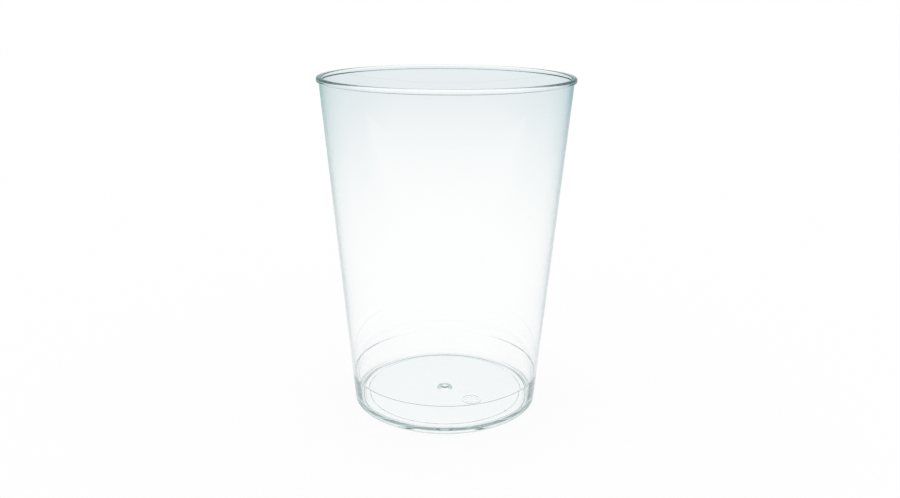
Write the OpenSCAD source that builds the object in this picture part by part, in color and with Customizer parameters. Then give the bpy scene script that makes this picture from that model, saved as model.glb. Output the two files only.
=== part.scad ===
/* [Overall] */
// Outside diameter across the lip of the rim
rim_d = 78; // [68:0.5:90]
// Height from the table to the top of the rim
height = 104.5; // [85:0.5:130]
// Diameter of the outer wall where its taper meets the table
base_d = 59.3; // [50:0.1:64]

/* [Wall] */
// Thickness of the wall between the rim and the stacking ledge
wall = 0.7; // [0.5:0.05:1]

/* [Rim] */
// How far the lip stands out from the wall
lip_w = 0.65; // [0.5:0.05:1]
// Height of the outer side of the lip
lip_h = 1.4; // [1.2:0.05:2]
// How much lower the underside of the lip is at the wall than at its outer edge
lip_drop = 0.1; // [0:0.05:0.4]
// Radius of the round between the top of the rim and the outer side of the lip
crown_r = 0.6; // [0.2:0.05:0.65]
// Radius of the round along the lower edge of the lip
under_r = 0.35; // [0.1:0.05:0.45]
// Radius of the round between the top of the rim and the inside of the wall
brim_r = 0.55; // [0.2:0.05:0.6]

/* [Stacking ledge] */
// Height of the top of the sloped ledge that carries the next cup of a stack
ledge_z = 10; // [7.5:0.25:16]
// How far the wall thickens inwards over the ledge
ledge_w = 0.3; // [0.2:0.05:0.6]
// Height of the slope of the ledge
ledge_h = 0.65; // [0.4:0.05:1.2]
// How much more the wall thickens from the ledge down to the floor
root_w = 0.3; // [0.1:0.05:0.6]

/* [Floor] */
// Thickness of the floor
floor_t = 1.1; // [1:0.05:2]
// Radius of the fillet between the floor and the inside of the wall
fillet_r = 1.2; // [0.8:0.1:2.4]
// Width of the level ring between that fillet and the sunk middle of the floor
shelf_w = 1; // [0.5:0.1:3]
// Depth of the sunk middle of the floor
panel_h = 0.25; // [0.1:0.05:0.3]

/* [Foot] */
// Width of the flat ring that stands on the table
foot_w = 0.75; // [0.5:0.05:1.5]
// Radius of the round between the foot ring and the outer wall
heel_r = 0.8; // [0.5:0.1:1.5]
// Height of the hollow under the floor, inside the foot ring
hollow_h = 0.75; // [0.5:0.05:1.5]
// How far the side of the hollow slopes in on its way up
hollow_w = 0.65; // [0.2:0.05:1]
// Radius of the fillet round the top of the hollow
hollow_r = 0.3; // [0.1:0.05:0.4]

/* [Gate] */
// Diameter of the raised boss in the middle of the floor, at its foot
boss_d = 5; // [4.4:0.1:7]
// Diameter of the flat top of the boss
boss_top_d = 3.6; // [2.4:0.1:4.2]
// Height of the boss
boss_h = 1.1; // [0.6:0.05:1.3]
// Diameter of the mouth of the well under the boss, where the plastic entered the mould
well_d = 4.3; // [3:0.1:5]
// Diameter of the flat top of the well
well_top_d = 2.2; // [1.6:0.1:2.8]
// Depth of the well
well_h = 1.1; // [0.4:0.05:1.2]
// Diameter of the moulding stub left in the well
stub_d = 1; // [0.6:0.1:1.4]
// Length of the stub
stub_h = 0.5; // [0.1:0.05:0.6]

/* [Hidden] */
$fn = 128;
// Overrun of every cut past the face that it opens
over = 1;
// How far the edge of the sunk middle slopes in, as a share of its depth
panel_slope_share = 0.5;
// How deep the stub is rooted in the plastic above the well, as a share of its thickness
stub_root_share = 0.5;

rim_r = rim_d / 2;
base_r = base_d / 2;

// Lean of the wall, from the edge of the base to the root of the lip
lean = atan((rim_r - lip_w - base_r) / height);
outward = [cos(lean), -sin(lean)];

// Radius at height z of the surface that lies depth inside the outer wall
function wall_r(z, depth = 0) = base_r + z * tan(lean) - depth / cos(lean);

// Lower edge of the lip and the centres of its three rounds
lip_z = height - lip_h;
under_c = [rim_r - under_r, lip_z + under_r];
crown_c = [rim_r - crown_r, height - crown_r];
brim_c = [wall_r(height - brim_r, wall - brim_r), height - brim_r];
brim_inner = brim_c - brim_r * outward;

// Inside of the thick lower wall, from the floor to the foot of the ledge
floor_z = hollow_h + floor_t;
root_foot = [wall_r(floor_z, wall + ledge_w + root_w), floor_z];
root_top = [wall_r(ledge_z - ledge_h, wall + ledge_w), ledge_z - ledge_h];
root_rise = root_top - root_foot;
root_lean = atan(root_rise.x / root_rise.y);
root_outward = [cos(root_lean), -sin(root_lean)];

// Fillet between the floor and that wall, then the sunk middle of the floor
fillet_c = [root_foot.x + fillet_r * (tan(root_lean) - 1 / cos(root_lean)), floor_z + fillet_r];
panel_z = floor_z - panel_h;
panel_r = fillet_c.x - shelf_w - panel_slope_share * panel_h;

// Heel round, then the sloped side of the hollow inside the foot ring and the fillet at its top
heel_c = [wall_r(heel_r, heel_r), heel_r];
foot_r = heel_c.x - foot_w;
hollow_lean = atan(hollow_w / hollow_h);
hollow_z = hollow_h - hollow_r;
hollow_c = [foot_r - hollow_z * tan(hollow_lean) - hollow_r / cos(hollow_lean), hollow_z];

well_z = hollow_h + well_h;
boss_z = panel_z + boss_h;
stub_root = stub_root_share * (boss_z - well_z);

// Outline of the cup as a solid: heel round, tapered wall and lip
module outside() {
    polygon([
        [0, 0],
        [heel_c.x, 0],
        heel_c,
        heel_c + heel_r * outward,
        [wall_r(lip_z - lip_drop), lip_z - lip_drop],
        [under_c.x, lip_z],
        under_c,
        [rim_r, under_c.y],
        [rim_r, crown_c.y],
        crown_c,
        [crown_c.x, height],
        [brim_c.x, height],
        brim_c,
        brim_inner,
        [0, brim_inner.y],
    ]);
    translate(heel_c) circle(heel_r);
    translate(under_c) circle(under_r);
    translate(crown_c) circle(crown_r);
    translate(brim_c) circle(brim_r);
}

// Space in the cup: boss, sunk floor, shelf, fillet, thick lower wall, sloped ledge and thin upper wall
module inside() {
    polygon([
        [0, boss_z],
        [boss_top_d / 2, boss_z],
        [boss_d / 2, panel_z],
        [panel_r, panel_z],
        [fillet_c.x - shelf_w, floor_z],
        [fillet_c.x, floor_z],
        fillet_c,
        fillet_c + fillet_r * root_outward,
        root_top,
        [wall_r(ledge_z, wall), ledge_z],
        brim_inner,
        [brim_inner.x - over, brim_inner.y + over],
        [0, brim_inner.y + over],
    ]);
    translate(fillet_c) circle(fillet_r);
}

// Hollow under the floor, inside the foot ring
module hollow() {
    polygon([
        [0, -over],
        [foot_r + over * tan(hollow_lean), -over],
        hollow_c + hollow_r * [cos(hollow_lean), sin(hollow_lean)],
        hollow_c,
        [hollow_c.x, hollow_h],
        [0, hollow_h],
    ]);
    translate(hollow_c) circle(hollow_r);
}

// Conical well under the boss
module well()
    polygon([
        [0, hollow_h - over],
        [well_d / 2, hollow_h - over],
        [well_d / 2, hollow_h],
        [well_top_d / 2, well_z],
        [0, well_z],
    ]);

// Stub left in the middle of the well
module stub()
    translate([0, well_z - stub_h]) square([stub_d / 2, stub_h + stub_root]);

module tumbler()
    color([0.88, 0.95, 0.95, 0.4])
    rotate_extrude() {
        difference() {
            outside();
            inside();
            hollow();
            well();
        }
        stub();
    }

tumbler();
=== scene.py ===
import math

import bmesh
import bpy
from mathutils import Matrix, Vector


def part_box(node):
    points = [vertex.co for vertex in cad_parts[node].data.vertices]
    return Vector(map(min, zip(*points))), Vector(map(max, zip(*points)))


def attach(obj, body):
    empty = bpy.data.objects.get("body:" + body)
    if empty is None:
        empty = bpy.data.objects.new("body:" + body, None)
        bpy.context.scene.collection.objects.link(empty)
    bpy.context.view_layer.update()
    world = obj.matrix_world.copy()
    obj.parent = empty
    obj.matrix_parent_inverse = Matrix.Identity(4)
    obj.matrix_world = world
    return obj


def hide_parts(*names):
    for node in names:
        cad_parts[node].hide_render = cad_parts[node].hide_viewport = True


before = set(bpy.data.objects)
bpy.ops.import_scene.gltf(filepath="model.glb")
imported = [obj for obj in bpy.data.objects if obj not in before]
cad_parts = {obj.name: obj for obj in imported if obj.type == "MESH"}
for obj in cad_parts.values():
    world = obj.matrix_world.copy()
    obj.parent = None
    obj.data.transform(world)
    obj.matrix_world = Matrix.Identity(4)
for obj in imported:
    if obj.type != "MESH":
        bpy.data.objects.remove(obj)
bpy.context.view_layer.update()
mm = 0.001
print("frame loaded:", sorted(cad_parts))


def arcPoints(centre, radius, startAngle, endAngle, stepAngle):
    # points along an arc of two steps or more, both ends included, angles in degrees
    count = max(2, math.ceil(abs(endAngle - startAngle) / stepAngle))
    angles = [startAngle + (endAngle - startAngle) * k / count for k in range(count + 1)]
    return [Vector((centre.x + radius * math.cos(math.radians(a)),
                    centre.y + radius * math.sin(math.radians(a)))) for a in angles]


def roundedOutline(corners, stepAngle):
    # a list of (point, radius) becomes points, with a tangent arc at each corner that has a radius
    points = []
    for k, (point, radius) in enumerate(corners):
        if not radius:
            points.append(point)
            continue
        toBefore = (corners[k - 1][0] - point).normalized()
        toAfter = (corners[k + 1][0] - point).normalized()
        halfAngle = toBefore.angle(toAfter) / 2
        centre = point + (toBefore + toAfter).normalized() * (radius / math.sin(halfAngle))
        reach = radius / math.tan(halfAngle)
        first = point + toBefore * reach - centre
        last = point + toAfter * reach - centre
        startAngle = math.degrees(math.atan2(first.y, first.x))
        turn = math.degrees(math.atan2(last.y, last.x)) - startAngle
        turn = (turn + 180) % 360 - 180
        points += arcPoints(centre, radius, startAngle, startAngle + turn, stepAngle)
    return points


def supportedOutline(points, shape):
    # rows close to both ends of each straight stretch keep it straight under smooth shading
    gap = shape["supportGap"]
    rows = [points[0]]
    for before, after in zip(points, points[1:]):
        span = after - before
        if span.length < shape["samePoint"]:
            continue
        if span.length > shape["shortestRow"]:
            pieces = max(1, int(span.length / shape["longestRow"]))
            rows.append(before + span * (gap / span.length))
            rows += [before + span * (k / pieces) for k in range(1, pieces)]
            rows.append(after - span * (gap / span.length))
        rows.append(after)
    return rows


# Section of the moulded cup, in millimetres; the rim and the height come from the frame
tumblerShape = {
    "baseRadius": 29.65,
    "wall": 0.7,
    "lipWidth": 0.65,
    "lipHeight": 1.4,
    "lipDrop": 0.1,
    "crownRound": 0.65,
    "lipUnderRound": 0.35,
    "lipRootRound": 0.1,
    "brimRound": 0.55,
    "ledgeTop": 9.87,
    "ledgeWidth": 0.3,
    "ledgeDrop": 0.2,
    "rootWidth": 0.3,         # how much more the wall thickens from the ledge down to the floor
    "floorThickness": 1.1,
    "floorFillet": 1.2,
    "shelfWidth": 0.4,        # level ring between the fillet and the sunk middle of the floor
    "panelDepth": 0.25,       # sunk middle of the floor
    "panelSlope": 0.125,
    "panelRound": 0.09,
    "witnessRadius": 25.4,    # fine raised line that the mould's insert leaves
    "witnessHeight": 0.1,
    "witnessRound": 0.02,
    "footWidth": 0.75,
    "heelRound": 0.8,
    "hollowHeight": 0.75,
    "hollowSlope": 0.65,
    "hollowRound": 0.3,
    "bossRadius": 2.5,        # gate in the middle of the floor
    "bossTopRadius": 1.8,
    "bossHeight": 1.1,
    "bossRound": 0.14,
    "wellRadius": 2.15,
    "wellTopRadius": 1.1,
    "wellDepth": 1.1,
    "stubRadius": 0.5,
    "stubLength": 0.5,
    "dialCentre": (8.7, -8.0),    # plain ring of dots where the moulder's marks sit under the floor
    "dialRadius": 3.0,
    "dialLine": 0.35,
    "dialDots": 8,
    "dialDotCircle": 0.62,    # share of the ring's radius at which the dots sit
    "dialHeight": 0.1,
    "dialRow": 0.14,
    "edgeRound": 0.09,
    "segments": 272,
    "arcStep": 6.0,           # degrees of each short step along an arc
    "supportGap": 0.03,
    "shortestRow": 0.15,
    "longestRow": 6.0,
    "samePoint": 1e-5,
    "weldGap": 0.001,
    "creaseAngle": 50.0,      # degrees
}


def tumblerOutline(shape, rimRadius, height):
    # half section from the middle of the floor, up the inside, over the rim and back to the gate's underside
    wall = shape["wall"]
    base = shape["baseRadius"]
    edge = shape["edgeRound"]
    lean = math.atan2(rimRadius - shape["lipWidth"] - base, height)

    def inWall(z, depth=0):
        # the point at height z that lies depth inside the outer wall
        return Vector((base + z * math.tan(lean) - depth / math.cos(lean), z))

    # gate boss, sunk floor, shelf, thick lower wall and ledge
    floorTop = shape["hollowHeight"] + shape["floorThickness"]
    panelTop = floorTop - shape["panelDepth"]
    bossTop = panelTop + shape["bossHeight"]
    rootFoot = inWall(floorTop, wall + shape["ledgeWidth"] + shape["rootWidth"])
    rootTop = inWall(shape["ledgeTop"] - shape["ledgeDrop"], wall + shape["ledgeWidth"])
    rootLean = math.atan2(rootTop.x - rootFoot.x, rootTop.y - rootFoot.y)
    filletStart = rootFoot.x + shape["floorFillet"] * (math.tan(rootLean) - 1 / math.cos(rootLean))
    panelEdge = filletStart - shape["shelfWidth"]
    witness = shape["witnessRadius"]
    rise = shape["witnessHeight"]
    inside = [
        (Vector((0, bossTop)), 0),
        (Vector((shape["bossTopRadius"], bossTop)), shape["bossRound"]),
        (Vector((shape["bossRadius"], panelTop)), edge),
        (Vector((witness - rise, panelTop)), shape["witnessRound"]),
        (Vector((witness, panelTop + rise)), shape["witnessRound"]),
        (Vector((witness + rise, panelTop)), shape["witnessRound"]),
        (Vector((panelEdge - shape["panelSlope"], panelTop)), shape["panelRound"]),
        (Vector((panelEdge, floorTop)), shape["panelRound"]),
        (rootFoot, shape["floorFillet"]),
        (rootTop, edge),
        (inWall(shape["ledgeTop"], wall), edge),
    ]

    # lip along the rim
    lipUnder = height - shape["lipHeight"]
    rim = [
        (inWall(height, wall), shape["brimRound"]),
        (Vector((rimRadius, height)), shape["crownRound"]),
        (Vector((rimRadius, lipUnder)), shape["lipUnderRound"]),
        (inWall(lipUnder - shape["lipDrop"]), shape["lipRootRound"]),
    ]

    # heel, foot ring, hollow, close rows for the dial, and the well with its stub under the boss
    heel = shape["heelRound"]
    foot = inWall(heel, heel).x - shape["footWidth"]
    hollowTop = shape["hollowHeight"]
    wellTop = hollowTop + shape["wellDepth"]
    stubEnd = wellTop - shape["stubLength"]
    dialReach = shape["dialRadius"] + shape["dialLine"]
    dialOuter = math.hypot(*shape["dialCentre"]) + dialReach
    dialRows = math.ceil(2 * dialReach / shape["dialRow"])
    outside = [
        (inWall(0), heel),
        (Vector((foot, 0)), edge),
        (Vector((foot - shape["hollowSlope"], hollowTop)), shape["hollowRound"]),
    ]
    for k in range(dialRows + 1):
        outside.append((Vector((dialOuter - k * shape["dialRow"], hollowTop)), 0))
    outside += [
        (Vector((shape["wellRadius"], hollowTop)), edge),
        (Vector((shape["wellTopRadius"], wellTop)), edge),
        (Vector((shape["stubRadius"], wellTop)), 0),
        (Vector((shape["stubRadius"], stubEnd)), 0),
        (Vector((0, stubEnd)), 0),
    ]
    return supportedOutline(roundedOutline(inside + rim + outside, shape["arcStep"]), shape)


def addInput(tree, name, kind):
    return tree.interface.new_socket(name=name, in_out="INPUT", socket_type=kind).identifier


def feedSocket(tree, value, socket):
    # a socket is linked, a plain number or colour is written in
    if isinstance(value, bpy.types.NodeSocket):
        tree.links.new(value, socket)
    elif isinstance(value, tuple):
        socket.default_value = (*value, 1)
    else:
        socket.default_value = value


def mathNode(tree, operation, *values):
    node = tree.nodes.new("ShaderNodeMath")
    node.operation = operation
    for socket, value in zip(node.inputs, values):
        feedSocket(tree, value, socket)
    return node.outputs[0]


def moulderDialGroup():
    # share of the full relief of a ring with dots inside it, at a place measured from the dial's centre
    group = bpy.data.node_groups.new("moulderDial", "GeometryNodeTree")
    addInput(group, "Place", "NodeSocketVector")
    for name in ("Radius", "Line", "Dots", "Dot Circle"):
        addInput(group, name, "NodeSocketFloat")
    group.interface.new_socket(name="Relief", in_out="OUTPUT", socket_type="NodeSocketFloat")
    nodes = group.nodes
    links = group.links
    given = nodes.new("NodeGroupInput")
    result = nodes.new("NodeGroupOutput")

    def lengthOf(first, second):
        squares = [mathNode(group, "MULTIPLY", part, part) for part in (first, second)]
        return mathNode(group, "SQRT", mathNode(group, "ADD", *squares))

    def ridge(offset):
        # one at no offset, falling smoothly to nothing at the line's width
        fall = nodes.new("ShaderNodeMapRange")
        fall.interpolation_type = "SMOOTHSTEP"
        links.new(offset, fall.inputs["Value"])
        links.new(given.outputs["Line"], fall.inputs["From Max"])
        fall.inputs["To Min"].default_value = 1
        fall.inputs["To Max"].default_value = 0
        return fall.outputs[0]

    split = nodes.new("ShaderNodeSeparateXYZ")
    links.new(given.outputs["Place"], split.inputs[0])
    distance = lengthOf(split.outputs["X"], split.outputs["Y"])
    fromRing = mathNode(group, "SUBTRACT", distance, given.outputs["Radius"])
    ring = ridge(mathNode(group, "ABSOLUTE", fromRing))

    # each dot is measured from the nearest of the places that share the circle evenly
    dotCircle = mathNode(group, "MULTIPLY", given.outputs["Radius"], given.outputs["Dot Circle"])
    angle = mathNode(group, "ARCTAN2", split.outputs["Y"], split.outputs["X"])
    halfSpacing = mathNode(group, "DIVIDE", math.pi, given.outputs["Dots"])
    swing = mathNode(group, "WRAP", angle, halfSpacing, mathNode(group, "MULTIPLY", halfSpacing, -1))
    along = mathNode(group, "MULTIPLY", distance, swing)
    outward = mathNode(group, "SUBTRACT", distance, dotCircle)
    dots = ridge(lengthOf(along, outward))
    links.new(mathNode(group, "MAXIMUM", ring, dots), result.inputs[0])
    return group


def turnedSolidTree():
    # turns an outline in the XZ plane round Z into a welded, smooth solid with the dial under its floor
    tree = bpy.data.node_groups.new("turnedSolid", "GeometryNodeTree")
    addInput(tree, "Outline", "NodeSocketGeometry")
    ids = {
        "segments": addInput(tree, "Segments", "NodeSocketInt"),
        "weldGap": addInput(tree, "Weld Gap", "NodeSocketFloat"),
        "creaseAngle": addInput(tree, "Crease Angle", "NodeSocketFloat"),
        "dialCentre": addInput(tree, "Dial Centre", "NodeSocketVector"),
        "dialRadius": addInput(tree, "Dial Radius", "NodeSocketFloat"),
        "dialLine": addInput(tree, "Dial Line", "NodeSocketFloat"),
        "dialDots": addInput(tree, "Dial Dots", "NodeSocketFloat"),
        "dialDotCircle": addInput(tree, "Dial Dot Circle", "NodeSocketFloat"),
        "dialHeight": addInput(tree, "Dial Height", "NodeSocketFloat"),
        "underside": addInput(tree, "Underside", "NodeSocketFloat"),
        "material": addInput(tree, "Material", "NodeSocketMaterial"),
    }
    tree.interface.new_socket(name="Solid", in_out="OUTPUT", socket_type="NodeSocketGeometry")
    nodes = tree.nodes
    links = tree.links
    given = nodes.new("NodeGroupInput")
    result = nodes.new("NodeGroupOutput")

    # a grid with one row of vertices for each point of the outline
    size = nodes.new("GeometryNodeAttributeDomainSize")
    links.new(given.outputs["Outline"], size.inputs[0])
    across = mathNode(tree, "ADD", given.outputs["Segments"], 1)
    grid = nodes.new("GeometryNodeMeshGrid")
    links.new(size.outputs["Point Count"], grid.inputs["Vertices X"])
    links.new(across, grid.inputs["Vertices Y"])
    index = nodes.new("GeometryNodeInputIndex").outputs[0]
    alongOutline = mathNode(tree, "FLOOR", mathNode(tree, "DIVIDE", index, across))
    aroundAxis = mathNode(tree, "SUBTRACT", index, mathNode(tree, "MULTIPLY", alongOutline, across))

    # each row goes round the axis at its point's radius and height
    sample = nodes.new("GeometryNodeSampleIndex")
    sample.data_type = "FLOAT_VECTOR"
    links.new(given.outputs["Outline"], sample.inputs["Geometry"])
    links.new(nodes.new("GeometryNodeInputPosition").outputs[0], sample.inputs["Value"])
    links.new(alongOutline, sample.inputs["Index"])
    split = nodes.new("ShaderNodeSeparateXYZ")
    links.new(sample.outputs[0], split.inputs[0])
    turnShare = mathNode(tree, "DIVIDE", aroundAxis, given.outputs["Segments"])
    angle = mathNode(tree, "MULTIPLY", turnShare, math.tau)
    place = nodes.new("ShaderNodeCombineXYZ")
    for axis, operation in (("X", "COSINE"), ("Y", "SINE")):
        part = mathNode(tree, operation, angle)
        links.new(mathNode(tree, "MULTIPLY", split.outputs["X"], part), place.inputs[axis])
    links.new(split.outputs["Z"], place.inputs["Z"])
    turned = nodes.new("GeometryNodeSetPosition")
    links.new(grid.outputs["Mesh"], turned.inputs["Geometry"])
    links.new(place.outputs[0], turned.inputs["Position"])

    # seam and poles weld
    weld = nodes.new("GeometryNodeMergeByDistance")
    links.new(turned.outputs[0], weld.inputs["Geometry"])
    links.new(given.outputs["Weld Gap"], weld.inputs["Distance"])

    # the dial stands out of the underside
    position = nodes.new("GeometryNodeInputPosition").outputs[0]
    fromDial = nodes.new("ShaderNodeVectorMath")
    fromDial.operation = "SUBTRACT"
    links.new(position, fromDial.inputs[0])
    links.new(given.outputs["Dial Centre"], fromDial.inputs[1])
    dial = nodes.new("GeometryNodeGroup")
    dial.node_tree = moulderDialGroup()
    links.new(fromDial.outputs[0], dial.inputs["Place"])
    for name in ("Radius", "Line", "Dots", "Dot Circle"):
        links.new(given.outputs["Dial " + name], dial.inputs[name])
    relief = mathNode(tree, "MULTIPLY", dial.outputs["Relief"], given.outputs["Dial Height"])
    down = nodes.new("ShaderNodeCombineXYZ")
    links.new(mathNode(tree, "MULTIPLY", relief, -1), down.inputs["Z"])
    level = nodes.new("ShaderNodeSeparateXYZ")
    links.new(position, level.inputs[0])
    isUnder = mathNode(tree, "LESS_THAN", level.outputs["Z"], given.outputs["Underside"])
    raised = nodes.new("GeometryNodeSetPosition")
    links.new(weld.outputs[0], raised.inputs["Geometry"])
    links.new(isUnder, raised.inputs["Selection"])
    links.new(down.outputs[0], raised.inputs["Offset"])

    # everything is smooth but the steep edges
    smooth = nodes.new("GeometryNodeSetShadeSmooth")
    links.new(raised.outputs[0], smooth.inputs[0])
    bend = nodes.new("GeometryNodeInputMeshEdgeAngle").outputs["Unsigned Angle"]
    isSteep = mathNode(tree, "GREATER_THAN", bend, given.outputs["Crease Angle"])
    sharp = nodes.new("GeometryNodeSetShadeSmooth")
    sharp.domain = "EDGE"
    sharp.inputs["Shade Smooth"].default_value = False
    links.new(isSteep, sharp.inputs["Selection"])
    links.new(smooth.outputs[0], sharp.inputs[0])
    realize = nodes.new("GeometryNodeRealizeInstances")
    links.new(sharp.outputs[0], realize.inputs[0])
    paint = nodes.new("GeometryNodeSetMaterial")
    links.new(realize.outputs[0], paint.inputs["Geometry"])
    links.new(given.outputs["Material"], paint.inputs["Material"])
    links.new(paint.outputs[0], result.inputs[0])
    return tree, ids


def bakeNodes(source, name):
    # the evaluated result of a node tree as a plain mesh object, with its faces outwards
    evaluated = source.evaluated_get(bpy.context.evaluated_depsgraph_get())
    mesh = bpy.data.meshes.new_from_object(evaluated)
    bpy.data.objects.remove(source)
    solid = bmesh.new()
    solid.from_mesh(mesh)
    bmesh.ops.recalc_face_normals(solid, faces=solid.faces)
    solid.to_mesh(mesh)
    solid.free()
    mesh.name = name
    piece = bpy.data.objects.new(name, mesh)
    bpy.context.scene.collection.objects.link(piece)
    return piece


def turnOutline(outline, shape, material, name):
    mesh = bpy.data.meshes.new(name + "Outline")
    edges = [(k, k + 1) for k in range(len(outline) - 1)]
    mesh.from_pydata([(p.x * mm, 0, p.y * mm) for p in outline], edges, [])
    source = bpy.data.objects.new(name + "Outline", mesh)
    bpy.context.scene.collection.objects.link(source)
    tree, ids = turnedSolidTree()
    modifier = source.modifiers.new("turn", "NODES")
    modifier.node_group = tree
    modifier[ids["segments"]] = shape["segments"]
    modifier[ids["creaseAngle"]] = math.radians(shape["creaseAngle"])
    modifier[ids["dialCentre"]] = (shape["dialCentre"][0] * mm, shape["dialCentre"][1] * mm, 0.0)
    for key in ("weldGap", "dialRadius", "dialLine", "dialHeight"):
        modifier[ids[key]] = shape[key] * mm
    for key in ("dialDots", "dialDotCircle"):
        modifier[ids[key]] = float(shape[key])
    modifier[ids["underside"]] = (shape["hollowHeight"] + shape["floorThickness"] / 2) * mm
    modifier[ids["material"]] = material
    return bakeNodes(source, name)


# Clear moulded plastic with the faint haze of a used cup
plasticLook = {
    "tint": (1.0, 1.0, 1.0, 1),
    "absorbColor": (0.24, 0.79, 0.73, 1),
    "absorbDensity": 5.5,     # per metre
    "ior": 1.53,
    "roughLow": 0.0,
    "roughHigh": 0.02,
    "hazeScale": 60.0,
    "hazeDetail": 3,
    "hazeFrom": 0.5,          # levels of the noise between which the haze sets in
    "hazeTo": 0.8,
}


def clearPlastic(look):
    material = bpy.data.materials.new("clearPlastic")
    material.use_nodes = True
    nodes = material.node_tree.nodes
    links = material.node_tree.links
    shader = nodes["Principled BSDF"]
    shader.inputs["Base Color"].default_value = look["tint"]
    shader.inputs["IOR"].default_value = look["ior"]
    shader.inputs["Transmission Weight"].default_value = 1.0
    absorb = nodes.new("ShaderNodeVolumeAbsorption")
    absorb.inputs["Color"].default_value = look["absorbColor"]
    absorb.inputs["Density"].default_value = look["absorbDensity"]
    links.new(absorb.outputs[0], nodes["Material Output"].inputs["Volume"])

    cloud = nodes.new("ShaderNodeTexNoise")
    links.new(nodes.new("ShaderNodeTexCoord").outputs["Object"], cloud.inputs["Vector"])
    cloud.inputs["Scale"].default_value = look["hazeScale"]
    cloud.inputs["Detail"].default_value = look["hazeDetail"]
    haze = nodes.new("ShaderNodeMapRange")
    links.new(cloud.outputs[0], haze.inputs["Value"])
    haze.inputs["From Min"].default_value = look["hazeFrom"]
    haze.inputs["From Max"].default_value = look["hazeTo"]
    haze.inputs["To Min"].default_value = look["roughLow"]
    haze.inputs["To Max"].default_value = look["roughHigh"]
    links.new(haze.outputs[0], shader.inputs["Roughness"])
    return material


lowCorner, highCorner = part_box("tumbler")
rimRadius = (highCorner.x - lowCorner.x) / 2 / mm
height = highCorner.z / mm
outline = tumblerOutline(tumblerShape, rimRadius, height)
tumbler = turnOutline(outline, tumblerShape, clearPlastic(plasticLook), "clearTumbler")
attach(tumbler, "root")
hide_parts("tumbler")
print("tumbler turned:", len(outline), "rows,", len(tumbler.data.polygons), "faces")


def pickColor(tree, factor, low, high):
    # the mix of two colours, each a socket or a plain colour
    mix = tree.nodes.new("ShaderNodeMix")
    mix.data_type = "RGBA"
    tree.links.new(factor, mix.inputs["Factor"])
    feedSocket(tree, low, mix.inputs[6])
    feedSocket(tree, high, mix.inputs[7])
    return mix.outputs[2]


def fadeNode(tree, value, ends, kind="SMOOTHSTEP"):
    # nothing at the first end, one at the second
    ramp = tree.nodes.new("ShaderNodeMapRange")
    ramp.interpolation_type = kind
    ramp.inputs["From Min"].default_value = ends[0]
    ramp.inputs["From Max"].default_value = ends[1]
    tree.links.new(value, ramp.inputs["Value"])
    return ramp.outputs[0]


# White table under even white light, in metres; the tones of a pale room that is darker behind the cup, so
# that the edges of the plastic read, are painted reflections and painted shade that only the plastic shows;
# pairs of colours are for the left and right of the cup, where the painted tones differ from side to side,
# pairs of numbers are the two ends of a fade
studioLook = {
    "size": 12.0,
    "gap": 0.00005,
    "white": (1.0, 1.0, 1.0),
    "shadowSeen": 0.1,        # share of the table's light that the cup can keep off
    "shadowThrough": 0.02,    # the same, for what shows through the plastic
    # painted shade: through the plastic the table and room take these darker tones with distance and towards
    # the top
    "far": (0.8, 0.85, 0.872),
    "farFade": (0.13, 0.93),
    "paintedCeilingShade": (0.03, 0.12, 0.11),
    # painted reflections: what the plastic mirrors, mostly lighter on the left of each pair
    "mirrorNear": ((0.97, 0.98, 0.98), (0.88, 0.91, 0.92)),
    "mirrorFar": ((0.52, 0.7, 0.69), (0.41, 0.58, 0.63)),
    "mirrorTop": ((0.75, 0.85, 0.84), (0.74, 0.83, 0.86)),
    "mirrorFade": (0.17, 0.77),
    "mirrorCount": 0.5,       # reflections after which the mirrored colours show
    # painted shade: what the plastic shows after many reflections, mostly dark
    "deepBack": ((0.0, 0.03, 0.025), (0.14, 0.15, 0.19)),
    "deepTop": (0.6, 0.6, 0.62),
    "deepTable": ((0.0, 0.12, 0.115), (0.13, 0.24, 0.3)),
    "deepCount": 2.5,         # reflections after which the deep colours, mostly painted shade, show
    "deepPatch": (0.7, 0.73, 0.74),    # painted light: a paler table close behind the cup, but not under its floor
    "patchCentre": (0.0, 0.035, 0.0),
    "patchFade": (0.055, 0.03),
    "underFade": (0.02, 0.027),
    "tableSides": (-0.3, 0.3),
    "tableBehind": (-0.45, 0.2),
    "roomSides": (-0.7, 0.7),    # from here on, parts of a direction of length one
    "roomBehind": (-0.8, 0.3),
    "ceilingFade": (0.1, 0.5),
    "topFade": (0.2, 0.8),
    "deepFade": (0.15, 0.65),
    "lightCount": 0.5,        # scatterings after which a ray counts as light on the table
}


def mirrorPick(tree, path, through, mirrored, deep, look):
    # painted reflections and shade: what a ray sees by how often the plastic has mirrored it
    once = mathNode(tree, "GREATER_THAN", path.outputs["Glossy Depth"], look["mirrorCount"])
    often = mathNode(tree, "GREATER_THAN", path.outputs["Glossy Depth"], look["deepCount"])
    return pickColor(tree, often, pickColor(tree, once, through, mirrored), deep)


def litTable(tree, color, shadowShare):
    # a surface of the given colour under even light, with a share of it as true shading
    nodes = tree.nodes
    glow = nodes.new("ShaderNodeEmission")
    glow.inputs["Strength"].default_value = 1 - shadowShare
    shaded = nodes.new("ShaderNodeBsdfDiffuse")
    dark = nodes.new("ShaderNodeEmission")
    dark.inputs["Strength"].default_value = 0
    share = nodes.new("ShaderNodeMixShader")
    share.inputs[0].default_value = shadowShare
    total = nodes.new("ShaderNodeAddShader")
    for socket in (glow.inputs["Color"], shaded.inputs["Color"]):
        feedSocket(tree, color, socket)
    tree.links.new(dark.outputs[0], share.inputs[1])
    tree.links.new(shaded.outputs[0], share.inputs[2])
    tree.links.new(glow.outputs[0], total.inputs[0])
    tree.links.new(share.outputs[0], total.inputs[1])
    return total.outputs[0]


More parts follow.
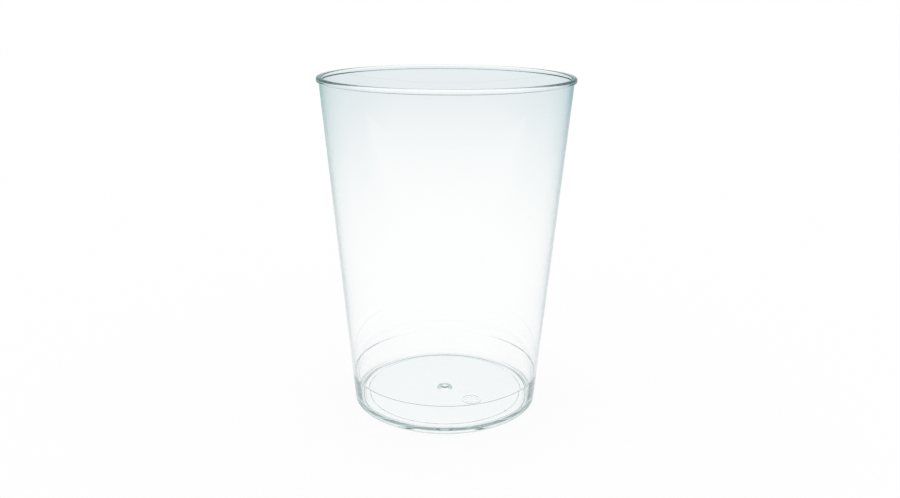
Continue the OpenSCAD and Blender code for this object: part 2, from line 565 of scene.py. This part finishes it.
def tableMaterial(look):
    material = bpy.data.materials.new("tableWhite")
    material.use_nodes = True
    tree = material.node_tree
    tree.nodes.clear()
    path = tree.nodes.new("ShaderNodeLightPath")
    place = tree.nodes.new("ShaderNodeTexCoord").outputs["Object"]
    reach = tree.nodes.new("ShaderNodeVectorMath")
    reach.operation = "LENGTH"
    tree.links.new(place, reach.inputs[0])
    distance = reach.outputs["Value"]
    split = tree.nodes.new("ShaderNodeSeparateXYZ")
    tree.links.new(place, split.inputs[0])
    side = fadeNode(tree, split.outputs["X"], look["tableSides"])
    behind = fadeNode(tree, split.outputs["Y"], look["tableBehind"])

    # painted reflections and shade: through the plastic the table goes pale with distance, and mirrored it
    # goes darker, with different tones left and right and white towards the camera
    through = pickColor(tree, fadeNode(tree, distance, look["farFade"]), look["white"], look["far"])
    fade = fadeNode(tree, distance, look["mirrorFade"], "LINEAR")
    near = pickColor(tree, side, *look["mirrorNear"])
    far = pickColor(tree, side, *look["mirrorFar"])
    mirrored = pickColor(tree, behind, look["white"], pickColor(tree, fade, near, far))

    # painted shade: after many reflections it is dark, but for a painted light patch close behind the cup
    fromPatch = tree.nodes.new("ShaderNodeVectorMath")
    fromPatch.operation = "DISTANCE"
    tree.links.new(place, fromPatch.inputs[0])
    fromPatch.inputs[1].default_value = look["patchCentre"]
    inPatch = fadeNode(tree, fromPatch.outputs["Value"], look["patchFade"])
    lit = mathNode(tree, "MULTIPLY", inPatch, fadeNode(tree, distance, look["underFade"]))
    deep = pickColor(tree, lit, pickColor(tree, side, *look["deepTable"]), look["deepPatch"])

    inPlastic = mirrorPick(tree, path, through, mirrored, deep, look)
    either = tree.nodes.new("ShaderNodeMixShader")
    tree.links.new(path.outputs["Is Camera Ray"], either.inputs[0])
    tree.links.new(litTable(tree, inPlastic, look["shadowThrough"]), either.inputs[1])
    tree.links.new(litTable(tree, look["white"], look["shadowSeen"]), either.inputs[2])
    output = tree.nodes.new("ShaderNodeOutputMaterial")
    tree.links.new(either.outputs[0], output.inputs["Surface"])
    return material


def studioTable(look):
    half = look["size"] / 2
    low = -look["gap"]
    mesh = bpy.data.meshes.new("studioTable")
    corners = [(-half, -half, low), (half, -half, low), (half, half, low), (-half, half, low)]
    mesh.from_pydata(corners, [], [(0, 1, 2, 3)])
    mesh.materials.append(tableMaterial(look))
    table = bpy.data.objects.new("studioTable", mesh)
    bpy.context.scene.collection.objects.link(table)


def studioWorld(look):
    # even white light; the tones of a room in what the plastic shows and mirrors are painted reflections and
    # painted shade
    world = bpy.data.worlds.new("studio")
    bpy.context.scene.world = world
    world.use_nodes = True
    tree = world.node_tree
    path = tree.nodes.new("ShaderNodeLightPath")
    split = tree.nodes.new("ShaderNodeSeparateXYZ")
    tree.links.new(tree.nodes.new("ShaderNodeTexCoord").outputs["Generated"], split.inputs[0])
    upward = split.outputs["Z"]
    side = fadeNode(tree, split.outputs["X"], look["roomSides"])
    behind = fadeNode(tree, split.outputs["Y"], look["roomBehind"])
    # painted shade: through the plastic the room darkens towards the top
    through = pickColor(tree, fadeNode(tree, upward, look["ceilingFade"]), look["far"], look["paintedCeilingShade"])
    far = pickColor(tree, side, *look["mirrorFar"])
    top = pickColor(tree, side, *look["mirrorTop"])
    mirrored = pickColor(tree, fadeNode(tree, upward, look["topFade"]), far, top)
    mirrored = pickColor(tree, behind, look["white"], mirrored)
    # painted shade: what rays see after many reflections, dark behind and paler towards the top
    back = pickColor(tree, side, *look["deepBack"])
    deep = pickColor(tree, fadeNode(tree, upward, look["deepFade"]), back, look["deepTop"])
    isLight = mathNode(tree, "GREATER_THAN", path.outputs["Diffuse Depth"], look["lightCount"])
    inPlastic = mirrorPick(tree, path, through, mirrored, deep, look)
    lighting = pickColor(tree, isLight, inPlastic, look["white"])
    color = pickColor(tree, path.outputs["Is Camera Ray"], lighting, look["white"])
    tree.links.new(color, tree.nodes["Background"].inputs["Color"])


studioTable(studioLook)
studioWorld(studioLook)
print("studio set")

# Camera fitted to the photo, in millimetres and radians
cameraLook = {
    "lens": 34.143,
    "sensor": 36,
    "distance": 260.76,
    "height": 129.11,
    "pitchDown": 0.295,
    "roll": 0.006,
    "shiftX": 0.00494,
    "nearest": 10,
    "clearBounces": 128,      # light passes the clear base many times before it comes out
    "diffuseBounces": 2,
}


def addCamera(look):
    data = bpy.data.cameras.new("camera")
    data.lens = look["lens"]
    data.sensor_width = look["sensor"]
    data.shift_x = look["shiftX"]
    data.clip_start = look["nearest"] * mm
    camera = bpy.data.objects.new("camera", data)
    bpy.context.scene.collection.objects.link(camera)
    place = Matrix.Translation((0, -look["distance"] * mm, look["height"] * mm))
    tilt = Matrix.Rotation(math.pi / 2 - look["pitchDown"], 4, "X")
    camera.matrix_world = place @ tilt @ Matrix.Rotation(look["roll"], 4, "Z")
    bpy.context.scene.camera = camera


addCamera(cameraLook)
scene = bpy.context.scene
scene.view_settings.view_transform = "Standard"
scene.cycles.max_bounces = cameraLook["clearBounces"]
scene.cycles.transmission_bounces = cameraLook["clearBounces"]
scene.cycles.glossy_bounces = cameraLook["clearBounces"]
scene.cycles.diffuse_bounces = cameraLook["diffuseBounces"]
print("camera set")
